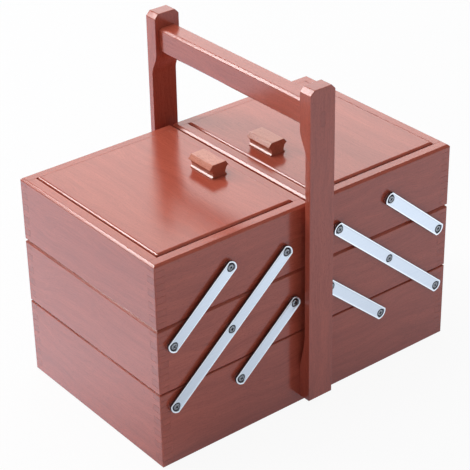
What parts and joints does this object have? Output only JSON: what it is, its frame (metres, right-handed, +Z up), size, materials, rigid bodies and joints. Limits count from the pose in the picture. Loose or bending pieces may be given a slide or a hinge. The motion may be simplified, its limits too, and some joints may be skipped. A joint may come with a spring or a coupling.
{
  "type": "sewing box",
  "caption": "Wooden cantilever sewing box with fold-out trays, two hinged lids with knobs and a post-and-bar carrying handle.",
  "frame": {"origin": "middle of the bottom tray's lower edge, on the ground", "axes": "+X from the left trays to the right trays, the way the trays open; +Y from front to back, along the handle bar; +Z up"},
  "size_m": [0.32, 0.2184, 0.3014],
  "materials": {
    "stained_wood": "satin",
    "bottom_panel": "satin",
    "plated_arm": "satin plated",
    "screw": "plated",
    "spacer": "plain"
  },
  "bodies": {
    "base": {"base_front_board": "stained_wood", "base_back_board": "stained_wood", "base_left_end": "stained_wood", "base_right_end": "stained_wood", "base_bottom_panel": "bottom_panel", "front_post": "stained_wood", "back_post": "stained_wood", "handle_bar": "stained_wood", "post_screws": "screw", "base_pivot_screws": "screw", "base_spacers": "spacer"},
    "left_long_arms": {"left_front_long_arm": "plated_arm", "left_back_long_arm": "plated_arm"},
    "left_lower_arms": {"left_front_lower_arm": "plated_arm", "left_back_lower_arm": "plated_arm"},
    "left_upper_arms": {"left_front_upper_arm": "plated_arm", "left_back_upper_arm": "plated_arm"},
    "left_middle_tray": {"left_mid_front_board": "stained_wood", "left_mid_back_board": "stained_wood", "left_mid_outer_end": "stained_wood", "left_mid_inner_end": "stained_wood", "left_mid_bottom_panel": "bottom_panel", "left_mid_pivot_screws": "screw", "left_mid_spacers": "spacer"},
    "left_top_tray": {"left_top_front_board": "stained_wood", "left_top_back_board": "stained_wood", "left_top_outer_end": "stained_wood", "left_top_inner_end": "stained_wood", "left_top_bottom_panel": "bottom_panel", "left_top_pivot_screws": "screw", "left_top_spacers": "spacer", "left_lid_pins": "spacer"},
    "left_lid_leaf": {"left_lid": "stained_wood", "left_lid_knob": "stained_wood", "left_knob_screw": "screw"},
    "right_long_arms": {"right_front_long_arm": "plated_arm", "right_back_long_arm": "plated_arm"},
    "right_lower_arms": {"right_front_lower_arm": "plated_arm", "right_back_lower_arm": "plated_arm"},
    "right_upper_arms": {"right_front_upper_arm": "plated_arm", "right_back_upper_arm": "plated_arm"},
    "right_middle_tray": {"right_mid_front_board": "stained_wood", "right_mid_back_board": "stained_wood", "right_mid_outer_end": "stained_wood", "right_mid_inner_end": "stained_wood", "right_mid_bottom_panel": "bottom_panel", "right_mid_pivot_screws": "screw", "right_mid_spacers": "spacer"},
    "right_top_tray": {"right_top_front_board": "stained_wood", "right_top_back_board": "stained_wood", "right_top_outer_end": "stained_wood", "right_top_inner_end": "stained_wood", "right_top_bottom_panel": "bottom_panel", "right_top_pivot_screws": "screw", "right_top_spacers": "spacer", "right_lid_pins": "spacer"},
    "right_lid_leaf": {"right_lid": "stained_wood", "right_lid_knob": "stained_wood", "right_knob_screw": "screw"}
  },
  "joints": [
    {"name": "left_opening", "type": "hinge", "parent": "base", "child": "left_long_arms", "pos_m": [-0.1461, 0, 0.0576], "axis": [0, -1, 0], "range_deg": [0, 98.4]},
    {"name": "left_lower_arms_turn", "type": "hinge", "parent": "base", "child": "left_lower_arms", "pos_m": [-0.0787, 0, 0.0556], "axis": [0, -1, 0], "range_deg": [0, 98.4]},
    {"name": "left_middle_tray_turn", "type": "hinge", "parent": "left_long_arms", "child": "left_middle_tray", "pos_m": [-0.0875, 0, 0.1081], "axis": [0, -1, 0], "range_deg": [-98.4, 0]},
    {"name": "left_top_tray_turn", "type": "hinge", "parent": "left_long_arms", "child": "left_top_tray", "pos_m": [-0.0289, 0, 0.1586], "axis": [0, -1, 0], "range_deg": [-98.4, 0]},
    {"name": "left_upper_arms_turn", "type": "hinge", "parent": "left_middle_tray", "child": "left_upper_arms", "pos_m": [-0.1461, 0, 0.1162], "axis": [0, -1, 0], "range_deg": [0, 98.4]},
    {"name": "left_lid_hinge", "type": "hinge", "parent": "left_top_tray", "child": "left_lid_leaf", "pos_m": [-0.143, 0, 0.1911], "axis": [0, -1, 0], "range_deg": [0, 115]},
    {"name": "right_opening", "type": "hinge", "parent": "base", "child": "right_long_arms", "pos_m": [0.1461, 0, 0.0576], "axis": [0, 1, 0], "range_deg": [0, 98.4]},
    {"name": "right_lower_arms_turn", "type": "hinge", "parent": "base", "child": "right_lower_arms", "pos_m": [0.0787, 0, 0.0556], "axis": [0, 1, 0], "range_deg": [0, 98.4]},
    {"name": "right_middle_tray_turn", "type": "hinge", "parent": "right_long_arms", "child": "right_middle_tray", "pos_m": [0.0875, 0, 0.1081], "axis": [0, 1, 0], "range_deg": [-98.4, 0]},
    {"name": "right_top_tray_turn", "type": "hinge", "parent": "right_long_arms", "child": "right_top_tray", "pos_m": [0.0289, 0, 0.1586], "axis": [0, 1, 0], "range_deg": [-98.4, 0]},
    {"name": "right_upper_arms_turn", "type": "hinge", "parent": "right_middle_tray", "child": "right_upper_arms", "pos_m": [0.1461, 0, 0.1162], "axis": [0, 1, 0], "range_deg": [0, 98.4]},
    {"name": "right_lid_hinge", "type": "hinge", "parent": "right_top_tray", "child": "right_lid_leaf", "pos_m": [0.143, 0, 0.1911], "axis": [0, 1, 0], "range_deg": [0, 115]}
  ],
  "couplings": [
    {"joint": "left_lower_arms_turn", "follows": "left_opening", "ratio": 1},
    {"joint": "left_middle_tray_turn", "follows": "left_opening", "ratio": -1},
    {"joint": "left_top_tray_turn", "follows": "left_opening", "ratio": -1},
    {"joint": "left_upper_arms_turn", "follows": "left_opening", "ratio": 1},
    {"joint": "right_lower_arms_turn", "follows": "right_opening", "ratio": 1},
    {"joint": "right_middle_tray_turn", "follows": "right_opening", "ratio": -1},
    {"joint": "right_top_tray_turn", "follows": "right_opening", "ratio": -1},
    {"joint": "right_upper_arms_turn", "follows": "right_opening", "ratio": 1}
  ]
}
